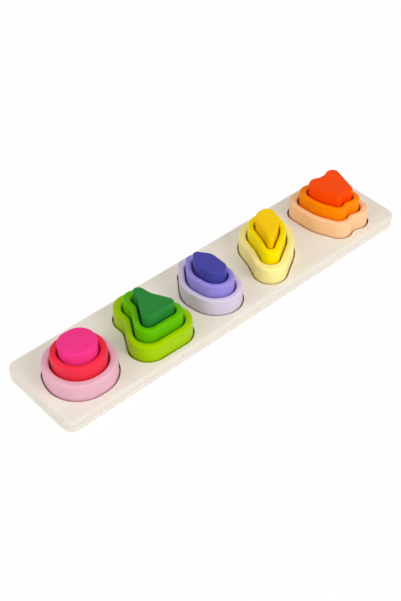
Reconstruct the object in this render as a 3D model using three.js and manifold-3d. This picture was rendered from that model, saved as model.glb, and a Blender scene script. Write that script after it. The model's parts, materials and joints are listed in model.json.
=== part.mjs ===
// A wooden shape puzzle: a long plywood board with five shaped sockets, each holding a nest of three
// painted blocks. Every nest is a solid core inside two rings of the same outline, one round the other,
// and each block stands higher than the ring round it. All fifteen blocks lift straight out.
// Millimetres, +Z up. The origin is at the middle of the board's underside, and X runs along the board.
import * as THREE from 'three';
import { mergeVertices } from 'three/addons/utils/BufferGeometryUtils.js';
import Module from 'manifold-3d';

// Board: a plain base sheet with a frame sheet glued on top of it
const BOARD_LENGTH = 400;
const BOARD_WIDTH = 92;
const BOARD_CORNER_RADIUS = 10;
const BASE_THICKNESS = 6.5;
const FRAME_THICKNESS = 6;
const BOARD_EDGE_ROUND = 1.6;

// From each end of the board to the place of the first nest beside it, with the others evenly between
const END_MARGIN = 50;

// Block heights, from the base sheet that they stand on
const OUTER_HEIGHT = 23;
const MIDDLE_HEIGHT = 34.5;
const CORE_HEIGHT = 45.5;

// The play round every block, and the rounding of the block edges
const SOCKET_PLAY = 1.1;
const NEST_PLAY = 1.3;
const BLOCK_EDGE_ROUND = 2;

// Smoothness of the round stretches
const ARC_STEP = THREE.MathUtils.degToRad(15);
const EDGE_ROUND_STEPS = 2;
const FILLET_SHARE = 0.98;

// Each nest has the walls of its two rings and the outline of its core: a polygon counter-clockwise round
// the nest's centre, as [x, y, fillet radius] at each corner. These, the nest's shift from its even place in
// the row and the least fillet of its hollow corners are in shares of its reach, about half the core's size.
// Its fillet growth is how far a round corner's fillet follows a ring's wall: 1 keeps the wall even there,
// and less leaves it thicker.
const NESTS = [
  {
    name: 'pebble',
    reach: 20,
    shift: [-0.275, -0.2],
    outerWall: 6.7,
    middleWall: 6,
    filletGrowth: 0.575,
    leastHollow: 0,
    core: [[-1.075, -0.85, 1.125], [0.65, -0.85, 1.025], [1.025, 0.675, 1.075], [-0.725, 0.75, 0.9]],
    colours: { outer: 0xe9b5c9, middle: 0xf5304a, core: 0xf23c90 },
  },
  {
    name: 'bell',
    reach: 20,
    shift: [-0.3, -0.225],
    outerWall: 6,
    middleWall: 5.6,
    filletGrowth: 0.9,
    leastHollow: 1.3,
    core: [
      [-1, -1, 0.3], [1, -1.05, 0.25], [0.375, 0.15, 0.825],
      [0.3, 0.675, 0.225], [-0.25, 1.5, 0.5], [-0.175, 0.4, 1.225],
    ],
    colours: { outer: 0xa0cc10, middle: 0x52ba08, core: 0x2c8a3c },
  },
  {
    name: 'almond',
    reach: 20,
    shift: [-0.4, -0.225],
    outerWall: 5.5,
    middleWall: 5.2,
    filletGrowth: 0.3,
    leastHollow: 0,
    core: [
      [-0.55, -0.825, 1.7], [0.375, -1.225, 1.2], [0.4, 0.25, 0.85],
      [-0.15, 0.975, 0.2], [-0.7, 0.25, 1.175],
    ],
    colours: { outer: 0xcdc0dc, middle: 0x8a78d4, core: 0x4846a4 },
  },
  {
    name: 'drop',
    reach: 20,
    shift: [-0.4, -0.225],
    outerWall: 6.7,
    middleWall: 5.6,
    filletGrowth: 0.9,
    leastHollow: 0.5,
    core: [
      [-0.925, -1.05, 0.125], [0.6, -0.125, 1.425], [0.875, 0.825, 0.4],
      [-0.175, 1.125, 0.65], [-0.525, -0.15, 1.05],
    ],
    colours: { outer: 0xf3e892, middle: 0xf8d400, core: 0xfcc400 },
  },
  {
    name: 'leaf',
    reach: 20,
    shift: [0.1, -0.25],
    outerWall: 5.4,
    middleWall: 4.9,
    filletGrowth: 0.475,
    leastHollow: 0.3,
    core: [
      [-0.925, -0.05, 1.8], [-0.525, -0.95, 0.4], [-0.15, -0.75, 0.65], [0.5, -0.95, 0.325],
      [0.525, -0.575, 0.275], [0.95, 0.8, 0.3], [0.5, 0.975, 0.3], [0, 0.75, 0.7],
      [-0.325, 0.95, 0.4], [-0.975, 1.175, 0.425],
    ],
    colours: { outer: 0xf8c49c, middle: 0xfc8a08, core: 0xf8500f },
  },
];
const WOOD = { color: 0xe9ddcc, roughness: 0.65, metalness: 0 };
const PAINT = { roughness: 0.45, metalness: 0 };

const BOARD_THICKNESS = BASE_THICKNESS + FRAME_THICKNESS;
const CUT_OVERRUN = 1;

const wasm = await Module();
wasm.setup();

/** Signed turn at a corner, positive where a counter-clockwise outline is convex. */
function turnAt(before, corner, after) {
  const arriving = corner.clone().sub(before);
  const leaving = after.clone().sub(corner);
  return Math.atan2(arriving.cross(leaving), arriving.dot(leaving));
}

/** The corner points and fillet radii of a polygon written as [x, y, radius] rows in a given unit. */
function readCorners(rows, unit) {
  return rows.map(([x, y, radius]) => {
    return { at: new THREE.Vector2(x, y).multiplyScalar(unit), radius: radius * unit };
  });
}

/** Corners with every side pushed out by one distance, with the fillets that the nest's rings get there. */
function growCorners(corners, distance, nest) {
  const leastHollow = nest.leastHollow * nest.reach;
  return corners.map((corner, i) => {
    const before = corners.at(i - 1).at;
    const after = corners[(i + 1) % corners.length].at;
    const arriving = corner.at.clone().sub(before).normalize();
    const leaving = after.clone().sub(corner.at).normalize();
    const push = new THREE.Vector2(arriving.y + leaving.y, -arriving.x - leaving.x);
    push.multiplyScalar(distance / (1 + arriving.dot(leaving)));
    const isHollow = turnAt(before, corner.at, after) < 0;
    return {
      at: corner.at.clone().add(push),
      radius: isHollow
        ? Math.max(corner.radius - distance, leastHollow)
        : corner.radius + distance * nest.filletGrowth,
    };
  });
}

/** Points of a closed outline with an arc at every corner, counter-clockwise. */
function roundOutline(corners) {
  const count = corners.length;
  const turns = corners.map((corner, i) => {
    return turnAt(corners.at(i - 1).at, corner.at, corners[(i + 1) % count].at);
  });
  const reach = corners.map((corner, i) => corner.radius * Math.tan(Math.abs(turns[i]) / 2));
  const room = corners.map((corner, i) => {
    const side = corner.at.distanceTo(corners[(i + 1) % count].at);
    return Math.min(1, (FILLET_SHARE * side) / (reach[i] + reach[(i + 1) % count]));
  });
  return corners.flatMap((corner, i) => {
    const share = Math.min(room.at(i - 1), room[i]);
    const radius = corner.radius * share;
    const arriving = corner.at.clone().sub(corners.at(i - 1).at).normalize();
    const inward = new THREE.Vector2(-arriving.y, arriving.x).multiplyScalar(Math.sign(turns[i]) * radius);
    const start = corner.at.clone().addScaledVector(arriving, -reach[i] * share);
    const centre = start.clone().add(inward);
    const steps = Math.max(1, Math.ceil(Math.abs(turns[i]) / ARC_STEP));
    return Array.from({ length: steps + 1 }, (_, k) => {
      return start.clone().rotateAround(centre, (turns[i] * k) / steps);
    });
  });
}

/** A straight-sided solid on an outline with holes, from z = 0 up, with its long edges rounded. */
function roundedPrism(outline, holes, height, edgeRound) {
  const shape = new THREE.Shape(outline);
  shape.holes = holes.map((hole) => new THREE.Path(hole));
  const geometry = new THREE.ExtrudeGeometry(shape, {
    depth: height - 2 * edgeRound,
    bevelThickness: edgeRound,
    bevelSize: edgeRound,
    bevelOffset: -edgeRound,
    bevelSegments: EDGE_ROUND_STEPS,
  });
  return geometry.translate(0, 0, edgeRound);
}

/** A closed geometry as a solid that can be cut. */
function toSolid(geometry) {
  const bare = geometry.clone();
  bare.deleteAttribute('normal');
  bare.deleteAttribute('uv');
  const welded = mergeVertices(bare);
  const vertProperties = new Float32Array(welded.attributes.position.array);
  const triVerts = new Uint32Array(welded.index.array);
  return new wasm.Manifold(new wasm.Mesh({ numProp: 3, vertProperties, triVerts }));
}

/** A cut solid as a geometry again. */
function toGeometry(solid) {
  const { vertProperties, triVerts } = solid.getMesh();
  const geometry = new THREE.BufferGeometry();
  geometry.setAttribute('position', new THREE.BufferAttribute(vertProperties, 3));
  geometry.setIndex(new THREE.BufferAttribute(triVerts, 1));
  return geometry;
}

function namedMesh(name, geometry, material) {
  const mesh = new THREE.Mesh(geometry, new THREE.MeshStandardMaterial(material));
  mesh.name = name;
  return mesh;
}

/** The outlines of one nest: those of its three blocks, and of the holes that take them. */
function nestOutlines(nest) {
  const grow = (corners, distance) => growCorners(corners, distance, nest);
  const core = readCorners(nest.core, nest.reach);
  const middle = grow(core, NEST_PLAY + nest.middleWall);
  const outer = grow(middle, NEST_PLAY + nest.outerWall);
  return {
    core: roundOutline(core),
    coreHole: roundOutline(grow(core, NEST_PLAY)),
    middle: roundOutline(middle),
    middleHole: roundOutline(grow(middle, NEST_PLAY)),
    outer: roundOutline(outer),
    socket: roundOutline(grow(outer, SOCKET_PLAY)),
  };
}

/** Where a nest's centre lies on the board: its even place in the row, moved by its own shift. */
function nestPlace(nest) {
  const pitch = (BOARD_LENGTH - 2 * END_MARGIN) / (NESTS.length - 1);
  const first = END_MARGIN - BOARD_LENGTH / 2;
  const even = new THREE.Vector2(first + pitch * NESTS.indexOf(nest), 0);
  return even.addScaledVector(new THREE.Vector2(...nest.shift), nest.reach);
}

/** The three blocks of one nest, standing in its socket. */
function makeNest(nest) {
  const lines = nestOutlines(nest);
  const blocks = {
    outer: roundedPrism(lines.outer, [lines.middleHole], OUTER_HEIGHT, BLOCK_EDGE_ROUND),
    middle: roundedPrism(lines.middle, [lines.coreHole], MIDDLE_HEIGHT, BLOCK_EDGE_ROUND),
    core: roundedPrism(lines.core, [], CORE_HEIGHT, BLOCK_EDGE_ROUND),
  };
  const group = new THREE.Group();
  group.position.set(...nestPlace(nest), BASE_THICKNESS);
  for (const [part, geometry] of Object.entries(blocks)) {
    group.add(namedMesh(`${nest.name}_${part}`, geometry, { ...PAINT, color: nest.colours[part] }));
  }
  return group;
}

/** The glued board before its sockets are cut: a slab with round corners and rounded edges. */
function makeBlank() {
  const x = BOARD_LENGTH / 2;
  const y = BOARD_WIDTH / 2;
  const corners = [[-x, -y], [x, -y], [x, y], [-x, y]].map((at) => {
    return { at: new THREE.Vector2(...at), radius: BOARD_CORNER_RADIUS };
  });
  return toSolid(roundedPrism(roundOutline(corners), [], BOARD_THICKNESS, BOARD_EDGE_ROUND));
}

/** A box over the whole board that keeps what lies between two heights. */
function makeLayer(bottom, top) {
  const box = new THREE.BoxGeometry(BOARD_LENGTH * 2, BOARD_WIDTH * 2, top - bottom);
  return toSolid(box.translate(0, 0, (bottom + top) / 2));
}

/** The cutter for one nest's socket, right through the frame sheet. */
function makeSocketCutter(nest) {
  const shape = new THREE.Shape(nestOutlines(nest).socket);
  const depth = FRAME_THICKNESS + 2 * CUT_OVERRUN;
  const cutter = new THREE.ExtrudeGeometry(shape, { depth, bevelEnabled: false });
  return toSolid(cutter.translate(...nestPlace(nest), BASE_THICKNESS - CUT_OVERRUN));
}

/** The base sheet, and the frame sheet with its five sockets. */
function makeBoard() {
  const blank = makeBlank();
  const base = blank.intersect(makeLayer(-CUT_OVERRUN, BASE_THICKNESS));
  let frame = blank.intersect(makeLayer(BASE_THICKNESS, BOARD_THICKNESS + CUT_OVERRUN));
  for (const nest of NESTS) {
    frame = frame.subtract(makeSocketCutter(nest));
  }
  const board = new THREE.Group();
  board.add(namedMesh('base_sheet', toGeometry(base), WOOD));
  board.add(namedMesh('frame_sheet', toGeometry(frame), WOOD));
  return board;
}

const puzzle = new THREE.Group();
puzzle.add(makeBoard());
for (const nest of NESTS) {
  puzzle.add(makeNest(nest));
}

export default puzzle;
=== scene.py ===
"""The looks of a wooden shape puzzle: a plywood board with five nests of painted blocks.

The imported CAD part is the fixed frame. Each sheet of the board and each block is drawn again here with
fine round edges, stands for its CAD node, rides on that node's body and gets its finish.
Metres, +Z up, X along the board. Sizes that are written in millimetres are multiplied by MM.
"""

import json
import logging
import math
from dataclasses import dataclass, replace
from enum import Enum

import bpy
from mathutils import Matrix, Vector

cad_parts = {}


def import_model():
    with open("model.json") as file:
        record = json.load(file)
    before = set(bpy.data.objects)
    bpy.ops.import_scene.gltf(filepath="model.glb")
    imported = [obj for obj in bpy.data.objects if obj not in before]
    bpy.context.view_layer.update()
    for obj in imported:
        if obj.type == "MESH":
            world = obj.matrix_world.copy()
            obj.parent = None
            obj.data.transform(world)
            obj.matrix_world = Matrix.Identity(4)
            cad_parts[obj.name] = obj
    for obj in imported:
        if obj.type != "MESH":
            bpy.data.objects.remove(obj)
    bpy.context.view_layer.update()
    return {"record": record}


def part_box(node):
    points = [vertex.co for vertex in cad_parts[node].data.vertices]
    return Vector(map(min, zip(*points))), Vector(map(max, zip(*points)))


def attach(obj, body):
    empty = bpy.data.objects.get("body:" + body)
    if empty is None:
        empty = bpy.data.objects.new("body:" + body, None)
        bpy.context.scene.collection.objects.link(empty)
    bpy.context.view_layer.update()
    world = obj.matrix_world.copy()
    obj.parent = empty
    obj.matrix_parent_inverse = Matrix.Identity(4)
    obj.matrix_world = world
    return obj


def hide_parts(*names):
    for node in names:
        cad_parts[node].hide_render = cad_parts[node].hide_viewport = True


LOG = logging.getLogger("shape_puzzle")
MM = 0.001
UP = Vector((0, 0, 1))

Colour = tuple[float, float, float]
Span = tuple[float, float]
Rows = tuple[tuple[float, float, float], ...]
Socket = bpy.types.NodeSocket
Placed = tuple[bpy.types.Object, str]

WHITE: Colour = (1, 1, 1)

# The curve from display colours to linear ones: straight at first, then a power.
CHANNEL_TOP = 255
STRAIGHT_END = 0.04045
STRAIGHT_SLOPE = 12.92
CURVE_OFFSET = 0.055
CURVE_POWER = 2.4


class Tier(Enum):
    """The three blocks of a nest, from the ring in the socket to the solid middle."""

    OUTER = "outer"
    MIDDLE = "middle"
    CORE = "core"


def srgb(red: int, green: int, blue: int) -> Colour:
    """Turns a display colour into the linear one that shaders take.

    Args:
        red: Red from 0 to 255.
        green: Green from 0 to 255.
        blue: Blue from 0 to 255.

    Returns:
        The linear red, green and blue.
    """
    linear = []
    for channel in (red, green, blue):
        share = channel / CHANNEL_TOP
        curved = ((share + CURVE_OFFSET) / (1 + CURVE_OFFSET)) ** CURVE_POWER
        linear.append(share / STRAIGHT_SLOPE if share <= STRAIGHT_END else curved)
    return tuple(linear)


@dataclass(frozen=True)
class Arc:
    """One rounded corner of an outline, from its first point round its centre."""

    start: Vector
    centre: Vector
    turn: float

    def at(self, share: float) -> Vector:
        """The point after a share of the turn."""
        return self.centre + Matrix.Rotation(self.turn * share, 2) @ (self.start - self.centre)


@dataclass(frozen=True)
class Corner:
    """One corner of an outline before it is rounded: its place and its fillet radius."""

    at: Vector
    radius: float


@dataclass(frozen=True)
class Outline:
    """A closed polygon with a fillet at each corner, counter-clockwise."""

    corners: tuple[Corner, ...]
    fillet_growth: float = 1.0
    least_hollow: float = 0.0
    fillet_share: float = 0.98

    @classmethod
    def from_rows(cls, rows: Rows, unit: float, place: Vector) -> "Outline":
        """Reads an outline from rows of x, y and radius.

        Args:
            rows: The corners, in shares of the unit.
            unit: The length of one unit.
            place: Where the rows' own centre lies.

        Returns:
            The outline in the frame's metres.
        """
        corners = (Corner(place + Vector((x, y)) * unit, radius * unit) for x, y, radius in rows)
        return cls(tuple(corners))

    @classmethod
    def rectangle(cls, low: Vector, high: Vector, radius: float) -> "Outline":
        """Makes a rectangle with round corners.

        Args:
            low: The lowest x and y.
            high: The highest x and y.
            radius: The corner radius.

        Returns:
            The rectangle's outline.
        """
        places = ((low.x, low.y), (high.x, low.y), (high.x, high.y), (low.x, high.y))
        return cls(tuple(Corner(Vector(at), radius) for at in places))

    def sides_at(self, i: int) -> tuple[Vector, Vector]:
        """Gives the two sides that meet at a corner.

        Args:
            i: The corner's number.

        Returns:
            The side that arrives there and the side that leaves it.
        """
        at = self.corners[i].at
        return at - self.corners[i - 1].at, self.corners[(i + 1) % len(self.corners)].at - at

    def turn_at(self, i: int) -> float:
        """The turn at a corner, positive where the outline is convex."""
        arriving, leaving = self.sides_at(i)
        return math.atan2(arriving.cross(leaving), arriving.dot(leaving))

    def grown(self, distance: float) -> "Outline":
        """Pushes every side out, with fillets that follow as far as this outline's growth says.

        Args:
            distance: How far the sides move.

        Returns:
            The larger outline.
        """
        grown = []
        for i, corner in enumerate(self.corners):
            arriving, leaving = (side.normalized() for side in self.sides_at(i))
            push = Vector((arriving.y + leaving.y, -arriving.x - leaving.x))
            push *= distance / (1 + arriving.dot(leaving))
            is_hollow = self.turn_at(i) < 0
            rounder = corner.radius + distance * self.fillet_growth
            radius = max(corner.radius - distance, self.least_hollow) if is_hollow else rounder
            grown.append(Corner(corner.at + push, radius))
        return replace(self, corners=tuple(grown))

    def arcs(self) -> list[Arc]:
        """Rounds the corners.

        Returns:
            One arc for each corner, in order.
        """
        count = len(self.corners)
        turns = [self.turn_at(i) for i in range(count)]
        reach = [corner.radius * math.tan(abs(turn) / 2) for corner, turn in zip(self.corners, turns)]
        room = []
        for i in range(count):
            following = (i + 1) % count
            side = (self.corners[following].at - self.corners[i].at).length
            room.append(min(1, self.fillet_share * side / (reach[i] + reach[following])))
        arcs = []
        for i, corner in enumerate(self.corners):
            share = min(room[i - 1], room[i])
            arriving = self.sides_at(i)[0].normalized()
            inward = Vector((-arriving.y, arriving.x)) * math.copysign(corner.radius * share, turns[i])
            start = corner.at - arriving * reach[i] * share
            arcs.append(Arc(start, start + inward, turns[i]))
        return arcs

    def middle(self, steps: int = 60) -> Vector:
        """Finds the middle of the rounded outline's box, from points along its arcs.

        Args:
            steps: The steps between the points of one arc.

        Returns:
            The middle.
        """
        points = [arc.at(i / steps) for arc in self.arcs() for i in range(steps + 1)]
        xs, ys = [p.x for p in points], [p.y for p in points]
        return Vector(((min(xs) + max(xs)) / 2, (min(ys) + max(ys)) / 2))


class Workpiece:
    """A mesh under way, drawn, raised and rounded with the modelling operators."""

    PEN_SIZE = 0.1 * MM
    ARC_STEP = math.radians(6)
    MERGE_WITHIN = 0.01 * MM
    FLAT_WITHIN = math.radians(40)
    FLAT_WEIGHT = 100
    ROUND_STEPS = 5
    ROUND_PROFILE = 0.5

    def __init__(self, name: str) -> None:
        """Starts an empty piece and goes into edit mode.

        Args:
            name: The piece's name.
        """
        bpy.ops.object.select_all(action="DESELECT")
        bpy.ops.mesh.primitive_plane_add(size=self.PEN_SIZE)
        self.piece = bpy.context.object
        self.piece.name = self.piece.data.name = name
        bpy.ops.object.mode_set(mode="EDIT")
        bpy.ops.mesh.select_mode(type="VERT")
        bpy.ops.mesh.delete(type="VERT")

    def trace(self, outline: Outline, height: float) -> None:
        """Draws a closed outline: corners are spun and the straight runs between them extruded.

        Args:
            outline: What is drawn.
            height: The height that it is drawn at.
        """
        arcs = outline.arcs()
        bpy.ops.mesh.select_all(action="DESELECT")
        bpy.ops.mesh.primitive_plane_add(size=self.PEN_SIZE, location=(*arcs[0].start, height))
        bpy.ops.mesh.merge(type="CENTER")
        for arc, following in zip(arcs, arcs[1:] + arcs[:1]):
            steps = max(1, math.ceil(abs(arc.turn) / self.ARC_STEP))
            centre = (*arc.centre, height)
            # The spin operator turns clockwise round the axis.
            bpy.ops.mesh.spin(steps=steps, angle=-arc.turn, center=centre, axis=UP)
            run = (*(following.start - arc.at(1)), 0)
            bpy.ops.mesh.extrude_region_move(TRANSFORM_OT_translate={"value": run})
        bpy.ops.mesh.select_all(action="SELECT")
        bpy.ops.mesh.remove_doubles(threshold=self.MERGE_WITHIN)

    def fill(self) -> None:
        """Fills one drawn outline with a face."""
        bpy.ops.mesh.select_all(action="SELECT")
        bpy.ops.mesh.edge_face_add()

    def bridge(self) -> None:
        """Joins two drawn outlines into a flat ring."""
        bpy.ops.mesh.select_all(action="SELECT")
        bpy.ops.mesh.bridge_edge_loops()

    def raise_by(self, height: float) -> None:
        """Makes the flat faces a solid.

        Args:
            height: The solid's height.
        """
        bpy.ops.mesh.select_all(action="SELECT")
        bpy.ops.mesh.extrude_region_move(TRANSFORM_OT_translate={"value": (0, 0, height)})
        bpy.ops.mesh.select_all(action="SELECT")
        bpy.ops.mesh.normals_make_consistent(inside=False)

    def select_levels(self, *heights: float) -> None:
        """Selects the edges that lie level at any of these heights.

        Args:
            *heights: The heights.
        """
        bpy.ops.mesh.select_mode(type="EDGE")
        bpy.ops.mesh.select_all(action="DESELECT")
        bpy.ops.object.mode_set(mode="OBJECT")
        vertices = self.piece.data.vertices
        for edge in self.piece.data.edges:
            ends = [vertices[i].co.z for i in edge.vertices]
            edge.select = any(
                all(abs(z - height) < self.MERGE_WITHIN for z in ends) for height in heights
            )
        bpy.ops.object.mode_set(mode="EDIT")

    def loft(self, levels: list[tuple[Outline, float]]) -> None:
        """Makes a solid through outlines of like corners at rising heights.

        Args:
            levels: Each outline with its height.
        """
        heights = [height for _, height in levels]
        for outline, height in levels:
            self.trace(outline, height)
        for pair in zip(heights, heights[1:]):
            self.select_levels(*pair)
            bpy.ops.mesh.bridge_edge_loops()
        for end in (heights[0], heights[-1]):
            self.select_levels(end)
            bpy.ops.mesh.edge_face_add()
        bpy.ops.mesh.select_all(action="SELECT")
        bpy.ops.mesh.normals_make_consistent(inside=False)

    def round_level(self, height: float, radius: float, steps: int) -> None:
        """Rounds the edges at one height.

        Args:
            height: The edges' height.
            radius: The rounding's radius.
            steps: The faces across it.
        """
        self.select_levels(height)
        bpy.ops.mesh.bevel(
            offset=radius,
            segments=steps,
            profile=self.ROUND_PROFILE,
            affect="EDGES",
            clamp_overlap=False,
        )

    def cut(self, cutter: bpy.types.Object) -> None:
        """Cuts another solid out of this one and deletes it, in object mode.

        Args:
            cutter: The solid that is cut away.
        """
        bpy.ops.object.select_all(action="DESELECT")
        bpy.context.view_layer.objects.active = self.piece
        self.piece.select_set(True)
        self.apply("BOOLEAN", operation="DIFFERENCE", solver="EXACT", object=cutter)
        bpy.data.objects.remove(cutter)

    def apply(self, kind: str, **settings: object) -> None:
        """Adds a modifier with these settings and applies it, in object mode.

        Args:
            kind: The modifier's type.
            **settings: The values that it is given.
        """
        bpy.ops.object.mode_set(mode="OBJECT")
        modifier = self.piece.modifiers.new(kind.title(), kind)
        for name, value in settings.items():
            setattr(modifier, name, value)
        bpy.ops.object.modifier_apply(modifier=modifier.name)

    def round_all_edges(self, radius: float) -> None:
        """Rounds every edge between a side and a flat top or underside.

        Args:
            radius: The rounding's radius.
        """
        self.apply(
            "BEVEL",
            width=radius,
            segments=self.ROUND_STEPS,
            limit_method="ANGLE",
            angle_limit=self.FLAT_WITHIN,
            use_clamp_overlap=False,
        )

    def finish(self) -> bpy.types.Object:
        """Shades the piece smooth with its flat faces kept flat.

        Returns:
            The finished object, in object mode.
        """
        bpy.ops.object.mode_set(mode="OBJECT")
        bpy.ops.object.shade_smooth_by_angle(angle=self.FLAT_WITHIN)
        self.apply("WEIGHTED_NORMAL", mode="FACE_AREA", weight=self.FLAT_WEIGHT, keep_sharp=True)
        return self.piece


@dataclass(frozen=True)
class Grain:
    """A streaky pattern: its units per metre along each axis, and how fine its detail goes."""

    scale: tuple[float, float, float]
    detail: float
    fine_share: float


class NodeBoard:
    """A material's node tree, with short ways to add nodes and join them."""

    def __init__(self, name: str) -> None:
        """Starts a material with one Principled shader.

        Args:
            name: The material's name.
        """
        self.material = bpy.data.materials.new(name)
        self.material.use_nodes = True
        self.tree = self.material.node_tree
        self.shader = self.tree.nodes["Principled BSDF"]

    def node(self, kind: str, **settings: object) -> bpy.types.Node:
        """Adds a node.

        Args:
            kind: The node's type, without its ShaderNode prefix.
            **settings: The node's own properties.

        Returns:
            The new node.
        """
        node = self.tree.nodes.new("ShaderNode" + kind)
        for name, value in settings.items():
            setattr(node, name, value)
        return node

    def feed(self, socket: Socket, value: object) -> None:
        """Joins an output to a socket, or sets the socket to a plain value.

        Args:
            socket: The input that is fed.
            value: An output socket, a number or a tuple.
        """
        if isinstance(value, Socket):
            self.tree.links.new(value, socket)
        else:
            socket.default_value = value

    def axis(self, coordinates: str, axis: str) -> Socket:
        """Gives one axis of the piece's own coordinates or normals.

        Args:
            coordinates: Which output of the coordinates is read, Object or Normal.
            axis: X, Y or Z.

        Returns:
            The axis's value.
        """
        parts = self.node("SeparateXYZ")
        self.feed(parts.inputs["Vector"], self.node("TexCoord").outputs[coordinates])
        return parts.outputs[axis]

    def distance(self, point: Vector) -> Socket:
        """Measures how far the surface is from a point.

        Args:
            point: The point, in the frame's metres.

        Returns:
            The distance in metres.
        """
        measure = self.node("VectorMath", operation="DISTANCE")
        self.feed(measure.inputs[0], self.node("TexCoord").outputs["Object"])
        self.feed(measure.inputs[1], tuple(point))
        return measure.outputs["Value"]

    def grain(self, grain: Grain) -> Socket:
        """Adds a streaky pattern on the piece's own coordinates.

        Args:
            grain: The pattern.

        Returns:
            The pattern's value, from 0 to 1.
        """
        mapping = self.node("Mapping")
        self.feed(mapping.inputs["Vector"], self.node("TexCoord").outputs["Object"])
        self.feed(mapping.inputs["Scale"], grain.scale)
        noise = self.node("TexNoise")
        self.feed(noise.inputs["Vector"], mapping.outputs["Vector"])
        self.feed(noise.inputs["Scale"], 1.0)
        self.feed(noise.inputs["Detail"], grain.detail)
        self.feed(noise.inputs["Roughness"], grain.fine_share)
        return noise.outputs["Fac"]

    def spread(self, value: Socket, source: Span, target: Span) -> Socket:
        """Maps one range of values smoothly to another.

        Args:
            value: What is mapped.
            source: The range that it has.
            target: The range that it gets.

        Returns:
            The mapped value.
        """
        mapped = self.node("MapRange", interpolation_type="SMOOTHSTEP")
        self.feed(mapped.inputs["Value"], value)
        for name, number in zip(("From Min", "From Max", "To Min", "To Max"), (*source, *target)):
            self.feed(mapped.inputs[name], number)
        return mapped.outputs["Result"]

    def maths(self, operation: str, first: object, second: object = 0) -> Socket:
        """Works out one number from one or two.

        Args:
            operation: The Math node's operation.
            first: The first number or output.
            second: The second number or output, where the operation takes two.

        Returns:
            The result.
        """
        node = self.node("Math", operation=operation)
        self.feed(node.inputs[0], first)
        self.feed(node.inputs[1], second)
        return node.outputs["Value"]

    def blend(self, share: object, first: object, second: object) -> Socket:
        """Mixes two colours.

        Args:
            share: How much of the second there is.
            first: The first colour.
            second: The second colour.

        Returns:
            The mixed colour.
        """
        mix = self.node("Mix", data_type="RGBA", blend_type="MIX")
        self.feed(mix.inputs["Factor"], share)
        for name, colour in (("A", first), ("B", second)):
            socket = next(s for s in mix.inputs if s.name == name and s.type == "RGBA")
            self.feed(socket, (*colour, 1) if isinstance(colour, tuple) else colour)
        return next(s for s in mix.outputs if s.type == "RGBA")

    def bump(self, height: Socket, depth: float) -> None:
        """Raises the surface by a height pattern.

        Args:
            height: The pattern, from 0 to 1.
            depth: The height of 1, in metres.
        """
        bump = self.node("Bump")
        self.feed(bump.inputs["Strength"], 1.0)
        self.feed(bump.inputs["Distance"], depth)
        self.feed(bump.inputs["Height"], height)
        self.feed(self.shader.inputs["Normal"], bump.outputs["Normal"])


@dataclass(frozen=True)
class Paint:
    """A satin wood paint, thin enough for the grain under it to show as faint streaks."""

    name: str
    colour: Colour
    shade: float = 0.94
    roughness: float = 0.28
    roughness_spread: float = 0.03
    specular: float = 0.15
    gloss_whiteness: float = 0.04
    streaks: Grain = Grain(scale=(45, 700, 700), detail=4, fine_share=0.6)
    clouds: Grain = Grain(scale=(30, 60, 60), detail=2, fine_share=0.5)
    tone_range: Span = (0.12, 0.4)
    sheen_range: Span = (0.3, 0.7)
    grain_depth: float = 0.012 * MM

    def gloss_tint(self) -> Colour:
        """Tints the gloss with the paint's own hue.

        Returns:
            The tint, whose brightest channel is 1.
        """
        brightest = max(self.colour)
        hue_share = (1 - self.gloss_whiteness) / brightest
        return tuple(channel * hue_share + self.gloss_whiteness for channel in self.colour)

    def material(self) -> bpy.types.Material:
        """Makes the paint's material.

        Returns:
            The material.
        """
        nodes = NodeBoard(self.name)
        streaks = nodes.grain(self.streaks)
        clouds = nodes.grain(self.clouds)
        darker = tuple(channel * self.shade for channel in self.colour)
        tone = nodes.spread(nodes.maths("MULTIPLY", streaks, clouds), self.tone_range, (0, 1))
        nodes.feed(nodes.shader.inputs["Base Color"], nodes.blend(tone, darker, self.colour))
        sheen = (self.roughness - self.roughness_spread, self.roughness + self.roughness_spread)
        nodes.feed(nodes.shader.inputs["Roughness"], nodes.spread(clouds, self.sheen_range, sheen))
        nodes.feed(nodes.shader.inputs["Specular IOR Level"], self.specular)
        nodes.feed(nodes.shader.inputs["Specular Tint"], (*self.gloss_tint(), 1))
        nodes.bump(streaks, self.grain_depth)
        return nodes.material


@dataclass(frozen=True)
class PinKnot:
    """A tiny brown knot in the wood, strongest in its heart, which is a share of its radius."""

    at: Vector
    radius: float
    strength: float
    heart: float = 0.3


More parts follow.
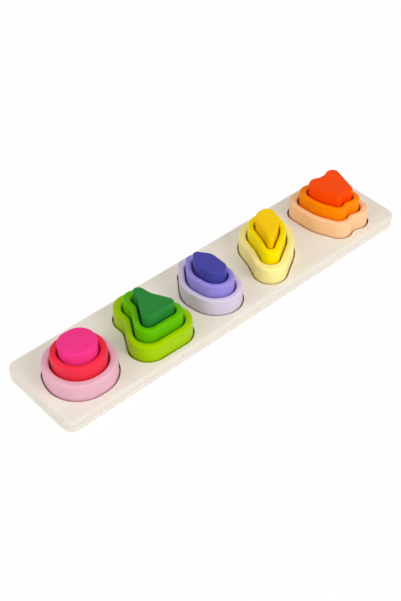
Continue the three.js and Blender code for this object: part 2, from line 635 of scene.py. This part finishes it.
@dataclass(frozen=True)
class Plywood:
    """Pale bare plywood: straight faint grain on its faces and thin plies on its edges."""

    name: str
    light: Colour
    dark: Colour
    cross_ply: Colour
    glue: Colour
    knot: Colour
    knots: tuple[PinKnot, ...]
    ply: float = 1.3 * MM
    ply_change: Span = (0.42, 0.58)
    cross_ply_shares: Span = (0.4, 0.7)
    side_range: Span = (0.3, 0.8)
    # How much painted shade the round edges get.
    edge_shade_share: float = 0.85
    glue_reach: float = 0.6 * MM
    figure: Grain = Grain(scale=(4, 55, 55), detail=3, fine_share=0.55)
    fibres: Grain = Grain(scale=(30, 1100, 1100), detail=3, fine_share=0.6)
    fibre_share: float = 0.4
    tone_range: Span = (0.3, 0.68)
    sheen_range: Span = (0.3, 0.7)
    smooth: float = 0.54
    rough: float = 0.66
    specular: float = 0.25
    grain_depth: float = 0.03 * MM

    def plies(self, nodes: NodeBoard, depth: Socket) -> Socket:
        """Counts the plies that show their end grain on the board's long sides.

        Args:
            nodes: The material's nodes.
            depth: The distance from the glue line.

        Returns:
            The share of cross ply.
        """
        half = 0.5
        count = nodes.maths("SUBTRACT", nodes.maths("DIVIDE", depth, self.ply), half)
        bands = nodes.spread(nodes.maths("PINGPONG", count, 1), self.ply_change, self.cross_ply_shares)
        facing_across = nodes.maths("ABSOLUTE", nodes.axis("Normal", "Y"))
        on_sides = nodes.spread(facing_across, self.side_range, (0, 1))
        return nodes.maths("MULTIPLY", bands, on_sides)

    def painted_edge_shade(self, nodes: NodeBoard) -> Socket:
        """Finds the round edges, which get a painted shade in the cross ply's darker colour.

        Args:
            nodes: The material's nodes.

        Returns:
            The share of the cross ply's colour, laid on as painted shade, highest where the surface
            slants by 45 degrees.
        """
        facing_up = nodes.maths("POWER", nodes.axis("Normal", "Z"), 2)
        slanting = nodes.maths("MULTIPLY", facing_up, nodes.maths("SUBTRACT", 1, facing_up))
        highest_slanting = 0.25
        return nodes.maths("MULTIPLY", slanting, self.edge_shade_share / highest_slanting)

    def layered(self, nodes: NodeBoard, wood: Socket, seam: float) -> Socket:
        """Adds the plies, the painted shade on the round edges and the glue line.

        Args:
            nodes: The material's nodes.
            wood: The wood's colour.
            seam: The height of the glue line, from which the plies are counted both ways.

        Returns:
            The colour with its layers.
        """
        depth = nodes.maths("ABSOLUTE", nodes.maths("SUBTRACT", nodes.axis("Object", "Z"), seam))
        wood = nodes.blend(self.plies(nodes, depth), wood, self.cross_ply)
        # Painted shade: the round edges are darkened towards the cross ply's colour, most where they
        # slant by 45 degrees.
        wood = nodes.blend(self.painted_edge_shade(nodes), wood, self.cross_ply)
        return nodes.blend(nodes.spread(depth, (0, self.glue_reach), (1, 0)), wood, self.glue)

    def material(self, seam: float) -> bpy.types.Material:
        """Makes the plywood's material.

        Args:
            seam: The height of the glue line between the sheets.

        Returns:
            The material.
        """
        nodes = NodeBoard(self.name)
        figure = nodes.grain(self.figure)
        fibres = nodes.grain(self.fibres)
        broad = nodes.maths("MULTIPLY", figure, 1 - self.fibre_share)
        fine = nodes.maths("MULTIPLY", fibres, self.fibre_share)
        both = nodes.maths("ADD", broad, fine)
        wood = nodes.blend(nodes.spread(both, self.tone_range, (0, 1)), self.dark, self.light)
        wood = self.layered(nodes, wood, seam)
        for knot in self.knots:
            fade = (knot.heart * knot.radius, knot.radius)
            share = nodes.spread(nodes.distance(knot.at), fade, (knot.strength, 0))
            wood = nodes.blend(share, wood, self.knot)
        nodes.feed(nodes.shader.inputs["Base Color"], wood)
        sheen = nodes.spread(both, self.sheen_range, (self.rough, self.smooth))
        nodes.feed(nodes.shader.inputs["Roughness"], sheen)
        nodes.feed(nodes.shader.inputs["Specular IOR Level"], self.specular)
        nodes.bump(fibres, self.grain_depth)
        return nodes.material


@dataclass(frozen=True)
class ScorchAndGapShade:
    """The brown walls round the sockets: the scorch that a hot cutting beam leaves, also painted shade
    for the dark gaps round the blocks, streaked from top to bottom.
    """

    name: str
    light: Colour
    dark: Colour
    roughness: float = 0.8
    specular: float = 0.1
    streaks: Grain = Grain(scale=(900, 900, 60), detail=3, fine_share=0.6)
    tone_range: Span = (0.3, 0.7)
    streak_depth: float = 0.05 * MM

    def material(self) -> bpy.types.Material:
        """Makes the material of the scorched walls, which also paints the shade in the gaps.

        Returns:
            The material.
        """
        nodes = NodeBoard(self.name)
        streaks = nodes.grain(self.streaks)
        tone = nodes.spread(streaks, self.tone_range, (0, 1))
        nodes.feed(nodes.shader.inputs["Base Color"], nodes.blend(tone, self.dark, self.light))
        nodes.feed(nodes.shader.inputs["Roughness"], self.roughness)
        nodes.feed(nodes.shader.inputs["Specular IOR Level"], self.specular)
        nodes.bump(streaks, self.streak_depth)
        return nodes.material


@dataclass
class Board:
    """The glued board: a plain base sheet under a frame sheet with the sockets."""

    corner_radius: float = 10 * MM
    edge_radius: float = 1.6 * MM
    underside_radius: float = 0.6 * MM
    seam_radius: float = 0.4 * MM
    rim_chamfer: float = 0.15 * MM
    socket_play: float = 1.1 * MM
    edge_steps: int = 4
    seam_steps: int = 2
    overrun: float = 1.0 * MM
    cut_margin: float = 3.5 * MM
    wall_slant: float = 0.8
    finish: Plywood = Plywood(
        "pale_plywood",
        light=srgb(239, 232, 220),
        dark=srgb(232, 223, 210),
        cross_ply=srgb(224, 216, 205),
        glue=srgb(218, 206, 190),
        knot=srgb(150, 118, 86),
        knots=(
            PinKnot(at=Vector((-76.0, -46.0, 8.2)) * MM, radius=1.2 * MM, strength=0.6),
            PinKnot(at=Vector((-18.0, -46.0, 7.0)) * MM, radius=1.0 * MM, strength=0.4),
        ),
    )
    # Scorched brown on the socket walls, also painted shade for the gaps round the blocks.
    scorch_and_gap_shade: ScorchAndGapShade = ScorchAndGapShade(
        "scorch_and_painted_gap_shade",
        light=srgb(190, 124, 78),
        dark=srgb(134, 82, 52),
    )

    def slab(self, name: str, node: str, edge: float, radius: float, seam: float) -> Workpiece:
        """Models a sheet before any socket is cut.

        Args:
            name: The sheet's name.
            node: The node that it stands for.
            edge: The height of its edge on the board's outside.
            radius: The rounding of that edge.
            seam: The height of its edge at the glue line.

        Returns:
            The sheet under way.
        """
        low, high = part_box(node)
        work = Workpiece(name)
        work.trace(Outline.rectangle(low, high, self.corner_radius), low.z)
        work.fill()
        work.raise_by(high.z - low.z)
        work.round_level(edge, radius, self.edge_steps)
        work.round_level(seam, self.seam_radius, self.seam_steps)
        bpy.ops.object.mode_set(mode="OBJECT")
        return work

    def socket_cutter(self, socket: Outline) -> bpy.types.Object:
        """Models what is cut away for one socket, with a flare that breaks the rim's edge.

        Args:
            socket: The socket's outline.

        Returns:
            The cutter.
        """
        low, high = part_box("frame_sheet")
        flare = self.rim_chamfer + self.overrun
        work = Workpiece("socket_cutter")
        work.loft([
            (socket, low.z - self.overrun),
            (socket, high.z - self.rim_chamfer),
            (socket.grown(flare), high.z + self.overrun),
        ])
        bpy.ops.object.mode_set(mode="OBJECT")
        return work.piece

    def base_sheet(self) -> bpy.types.Object:
        """Models the sheet that the blocks stand on."""
        low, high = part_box("base_sheet")
        return self.slab("base_plywood", "base_sheet", low.z, self.underside_radius, high.z).finish()

    def frame_sheet(self, sockets: list[Outline]) -> bpy.types.Object:
        """Models the sheet with the sockets.

        Args:
            sockets: The sockets' outlines.

        Returns:
            The sheet.
        """
        low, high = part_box("frame_sheet")
        work = self.slab("frame_plywood", "frame_sheet", high.z, self.edge_radius, low.z)
        for socket in sockets:
            work.cut(self.socket_cutter(socket))
        return work.finish()

    def dress(self, sheet: bpy.types.Object, materials: list[bpy.types.Material]) -> None:
        """Gives a sheet its wood, and on the walls and rims of its sockets a scorched brown that also
        paints the shade in the gaps.

        Args:
            sheet: The finished sheet.
            materials: The wood and the scorched brown that also paints the gap shade.
        """
        low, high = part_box("frame_sheet")
        for material in materials:
            sheet.data.materials.append(material)
        for face in sheet.data.polygons:
            at = face.center
            # A steep face well inside the board's edge is a socket's wall or rim.
            inset = min(at.x - low.x, high.x - at.x, at.y - low.y, high.y - at.y)
            is_cut = inset > self.cut_margin and abs(face.normal.z) < self.wall_slant
            # Those faces get the scorched brown, which also paints the shade in the gaps round the
            # blocks.
            face.material_index = int(is_cut)

    def build(self, nests: list["Nest"]) -> list[Placed]:
        """Models and dresses both sheets.

        Args:
            nests: The nests whose sockets are cut.

        Returns:
            Each sheet with the node that it stands for.
        """
        sockets = [nest.outline(Tier.OUTER).grown(self.socket_play) for nest in nests]
        sheets = [(self.base_sheet(), "base_sheet"), (self.frame_sheet(sockets), "frame_sheet")]
        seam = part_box("base_sheet")[1].z
        # The second material is the scorch that also paints the gap shade.
        materials = [self.finish.material(seam), self.scorch_and_gap_shade.material()]
        for sheet, _ in sheets:
            self.dress(sheet, materials)
        return sheets


@dataclass
class Nest:
    """Three painted blocks in one socket: two rings of even wall round a tall solid core."""

    name: str
    core: Rows
    middle_wall: float
    outer_wall: float
    paints: dict[Tier, Paint]
    fillet_growth: float
    least_hollow: float = 0.0
    reach: float = 20 * MM
    play: float = 1.3 * MM
    edge_radius: float = 2.0 * MM

    def node(self, tier: Tier) -> str:
        """The CAD node of one block."""
        return f"{self.name}_{tier.value}"

    def drawn(self, tier: Tier, place: Vector) -> Outline:
        """Draws a block's outline round a place.

        Args:
            tier: Which block.
            place: Where the core's own centre lies.

        Returns:
            The block's outline.
        """
        rows = Outline.from_rows(self.core, self.reach, place)
        hollow = self.least_hollow * self.reach
        outline = replace(rows, fillet_growth=self.fillet_growth, least_hollow=hollow)
        if tier is not Tier.CORE:
            outline = outline.grown(self.play + self.middle_wall)
        if tier is Tier.OUTER:
            outline = outline.grown(self.play + self.outer_wall)
        return outline

    def outline(self, tier: Tier) -> Outline:
        """Gives a block's outline where the CAD part has this nest.

        Args:
            tier: Which block.

        Returns:
            The outline in its place.
        """
        low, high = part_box(self.node(Tier.OUTER))
        middle = ((low + high) / 2).to_2d()
        return self.drawn(tier, middle - self.drawn(Tier.OUTER, Vector((0, 0))).middle())

    def block(self, tier: Tier) -> bpy.types.Object:
        """Models and paints one block.

        Args:
            tier: Which block.

        Returns:
            The block.
        """
        low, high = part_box(self.node(tier))
        inside = {Tier.OUTER: Tier.MIDDLE, Tier.MIDDLE: Tier.CORE}
        work = Workpiece(f"{self.node(tier)}_block")
        work.trace(self.outline(tier), low.z)
        if tier in inside:
            work.trace(self.outline(inside[tier]).grown(self.play), low.z)
            work.bridge()
        else:
            work.fill()
        work.raise_by(high.z - low.z)
        work.round_all_edges(self.edge_radius)
        block = work.finish()
        block.data.materials.append(self.paints[tier].material())
        return block

    def build(self) -> list[Placed]:
        """Models the nest's blocks.

        Returns:
            Each block with the node that it stands for.
        """
        return [(self.block(tier), self.node(tier)) for tier in Tier]


def make_nests() -> list[Nest]:
    """Lists the five nests along the board.

    Returns:
        The nests, from the low end of X.
    """
    return [
        Nest(
            name="pebble",
            core=(
                (-1.075, -0.85, 1.125), (0.65, -0.85, 1.025),
                (1.025, 0.675, 1.075), (-0.725, 0.75, 0.9),
            ),
            fillet_growth=0.575,
            middle_wall=6 * MM,
            outer_wall=6.7 * MM,
            paints={
                Tier.OUTER: Paint("pale_pink_paint", srgb(232, 180, 196)),
                Tier.MIDDLE: Paint("coral_red_paint", srgb(240, 51, 74)),
                Tier.CORE: Paint("deep_pink_paint", srgb(242, 56, 135)),
            },
        ),
        Nest(
            name="bell",
            core=(
                (-1, -1, 0.3), (1, -1.05, 0.25), (0.375, 0.15, 0.825),
                (0.3, 0.675, 0.225), (-0.25, 1.5, 0.5), (-0.175, 0.4, 1.225),
            ),
            fillet_growth=0.9,
            least_hollow=1.3,
            middle_wall=5.6 * MM,
            outer_wall=6 * MM,
            paints={
                Tier.OUTER: Paint("lime_paint", srgb(162, 204, 1)),
                Tier.MIDDLE: Paint("grass_green_paint", srgb(99, 187, 1)),
                Tier.CORE: Paint("fir_green_paint", srgb(41, 130, 51)),
            },
        ),
        Nest(
            name="almond",
            core=(
                (-0.55, -0.825, 1.7), (0.375, -1.225, 1.2), (0.4, 0.25, 0.85),
                (-0.15, 0.975, 0.2), (-0.7, 0.25, 1.175),
            ),
            fillet_growth=0.3,
            middle_wall=5.2 * MM,
            outer_wall=5.5 * MM,
            paints={
                Tier.OUTER: Paint("pale_lilac_paint", srgb(215, 202, 224)),
                Tier.MIDDLE: Paint("lavender_paint", srgb(155, 140, 222)),
                Tier.CORE: Paint("violet_paint", srgb(71, 69, 159)),
            },
        ),
        Nest(
            name="drop",
            core=(
                (-0.925, -1.05, 0.125), (0.6, -0.125, 1.425), (0.875, 0.825, 0.4),
                (-0.175, 1.125, 0.65), (-0.525, -0.15, 1.05),
            ),
            fillet_growth=0.9,
            least_hollow=0.5,
            middle_wall=5.6 * MM,
            outer_wall=6.7 * MM,
            paints={
                Tier.OUTER: Paint("pale_yellow_paint", srgb(253, 240, 154)),
                Tier.MIDDLE: Paint("lemon_paint", srgb(253, 228, 0)),
                Tier.CORE: Paint("sun_yellow_paint", srgb(253, 205, 0)),
            },
        ),
        Nest(
            name="leaf",
            core=(
                (-0.925, -0.05, 1.8), (-0.525, -0.95, 0.4), (-0.15, -0.75, 0.65), (0.5, -0.95, 0.325),
                (0.525, -0.575, 0.275), (0.95, 0.8, 0.3), (0.5, 0.975, 0.3), (0, 0.75, 0.7),
                (-0.325, 0.95, 0.4), (-0.975, 1.175, 0.425),
            ),
            fillet_growth=0.475,
            least_hollow=0.3,
            middle_wall=4.9 * MM,
            outer_wall=5.4 * MM,
            paints={
                Tier.OUTER: Paint("pale_peach_paint", srgb(253, 202, 153)),
                Tier.MIDDLE: Paint("orange_paint", srgb(253, 138, 0)),
                Tier.CORE: Paint("flame_orange_paint", srgb(253, 76, 0)),
            },
        ),
    ]


def direction(azimuth: float, elevation: float) -> Vector:
    """Gives the way from the part towards a place round it.

    Args:
        azimuth: The angle round the part, from straight in front of it towards +X.
        elevation: The angle above the floor.

    Returns:
        The direction, of length 1.
    """
    level = math.cos(elevation)
    return Vector((math.sin(azimuth) * level, -math.cos(azimuth) * level, math.sin(elevation)))


@dataclass(frozen=True)
class Softbox:
    """A soft round studio lamp that looks at the middle of the part."""

    name: str
    azimuth: float
    elevation: float
    distance: float
    size: float
    power: float

    def build(self) -> None:
        """Hangs the lamp."""
        place = direction(self.azimuth, self.elevation) * self.distance
        bpy.ops.object.light_add(type="AREA", location=place)
        lamp = bpy.context.object
        lamp.name = self.name
        lamp.data.shape = "DISK"
        lamp.data.size = self.size
        lamp.data.energy = self.power
        lamp.rotation_euler = (-place).to_track_quat("-Z", "Y").to_euler()


@dataclass
class Studio:
    """A plain white studio: the floor, the lamps, the surroundings and the camera."""

    floor_size: float = 8.0
    floor_colour: Colour = (0.9, 0.9, 0.9)
    floor_glow: float = 0.94
    ambient: float = 0.45
    backdrop_strength: float = 1.0
    lamps: tuple[Softbox, ...] = (
        Softbox(
            "key_softbox",
            azimuth=math.radians(18),
            elevation=math.radians(32),
            distance=4.0,
            size=2.6,
            power=72,
        ),
        Softbox(
            "fill_softbox",
            azimuth=math.radians(-95),
            elevation=math.radians(32),
            distance=2.4,
            size=1.5,
            power=13.5,
        ),
        Softbox(
            "front_softbox",
            azimuth=math.radians(-40),
            elevation=math.radians(55),
            distance=2.4,
            size=0.3,
            power=12,
        ),
    )
    target: Vector = Vector((-13.655 * MM, 2.173 * MM, 0))
    azimuth: float = math.radians(-40.54)
    elevation: float = math.radians(43.792)
    roll: float = math.radians(-1.5)
    distance: float = 1.076035
    lens: float = 69.875
    sensor: float = 36.0

    def camera(self) -> None:
        """Sets up the camera at the photograph's viewing angle."""
        back = direction(self.azimuth, self.elevation)
        right = UP.cross(back).normalized()
        up = back.cross(right)
        tilted_right = right * math.cos(self.roll) + up * math.sin(self.roll)
        tilted_up = up * math.cos(self.roll) - right * math.sin(self.roll)
        turn = Matrix((tilted_right, tilted_up, back)).transposed().to_4x4()
        data = bpy.data.cameras.new("photo_camera")
        data.lens = self.lens
        data.sensor_width = self.sensor
        camera = bpy.data.objects.new("photo_camera", data)
        bpy.context.scene.collection.objects.link(camera)
        camera.matrix_world = Matrix.Translation(self.target + back * self.distance) @ turn
        bpy.context.scene.camera = camera

    def seen_share(self, tree: bpy.types.NodeTree) -> Socket:
        """Gives 1 for rays that show the background, to the camera or in a gloss.

        Args:
            tree: The node tree that it is added to.

        Returns:
            The share.
        """
        path = tree.nodes.new("ShaderNodeLightPath")
        share = path.outputs["Is Camera Ray"]
        for name in ("Is Glossy Ray", "Is Transmission Ray"):
            either = tree.nodes.new("ShaderNodeMath")
            either.operation = "MAXIMUM"
            tree.links.new(share, either.inputs[0])
            tree.links.new(path.outputs[name], either.inputs[1])
            share = either.outputs["Value"]
        return share

    def show(
        self, tree: bpy.types.NodeTree, share: Socket, pair: tuple[Socket, Socket], output: str
    ) -> None:
        """Shows one shader where the scene is lit and another where the background is seen.

        Args:
            tree: The node tree.
            share: The share of the second shader.
            pair: The two shaders.
            output: The name of the tree's output node.
        """
        mix = tree.nodes.new("ShaderNodeMixShader")
        lit, seen = pair
        tree.links.new(share, mix.inputs["Fac"])
        tree.links.new(lit, mix.inputs[1])
        tree.links.new(seen, mix.inputs[2])
        tree.links.new(mix.outputs["Shader"], tree.nodes[output].inputs["Surface"])

    def floor(self) -> None:
        """Lays a white floor that keeps a faint shadow."""
        bpy.ops.mesh.primitive_plane_add(size=self.floor_size)
        floor = bpy.context.object
        floor.name = "studio_floor"
        nodes = NodeBoard("white_floor")
        nodes.feed(nodes.shader.inputs["Base Color"], (*self.floor_colour, 1))
        nodes.feed(nodes.shader.inputs["Roughness"], 1.0)
        nodes.feed(nodes.shader.inputs["Specular IOR Level"], 0.0)
        share = nodes.maths("MULTIPLY", self.seen_share(nodes.tree), self.floor_glow)
        pair = (nodes.shader.outputs["BSDF"], nodes.node("Emission").outputs["Emission"])
        self.show(nodes.tree, share, pair, "Material Output")
        floor.data.materials.append(nodes.material)

    def surroundings(self) -> None:
        """Lights the scene evenly from all round, and shows white behind it."""
        world = bpy.data.worlds.new("white_studio")
        bpy.context.scene.world = world
        world.use_nodes = True
        tree = world.node_tree
        light = tree.nodes["Background"]
        backdrop = tree.nodes.new("ShaderNodeBackground")
        for node, strength in ((light, self.ambient), (backdrop, self.backdrop_strength)):
            node.inputs["Color"].default_value = (*WHITE, 1)
            node.inputs["Strength"].default_value = strength
        pair = (light.outputs["Background"], backdrop.outputs["Background"])
        self.show(tree, self.seen_share(tree), pair, "World Output")

    def build(self) -> None:
        """Sets up the whole studio."""
        bpy.context.scene.view_settings.view_transform = "Standard"
        self.camera()
        self.floor()
        self.surroundings()
        for lamp in self.lamps:
            lamp.build()


def stand_in(piece: bpy.types.Object, node: str, record: dict) -> None:
    """Puts a finished piece in the place of its CAD node.

    Args:
        piece: The finished piece.
        node: The node that it stands for.
        record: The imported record.
    """
    body = next(name for name, nodes in record["behaviour"]["bodies"].items() if node in nodes)
    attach(piece, body)
    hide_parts(node)
    LOG.info("%s stands for %s with %d faces", piece.name, node, len(piece.data.polygons))


def main() -> None:
    """Builds the board, the nests and the studio round the frame."""
    logging.basicConfig(level=logging.INFO, format="%(name)s: %(message)s")
    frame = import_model()
    nests = make_nests()
    pieces = Board().build(nests)
    for nest in nests:
        pieces += nest.build()
    for piece, node in pieces:
        stand_in(piece, node, frame["record"])
    Studio().build()


if __name__ == "__main__":
    main()
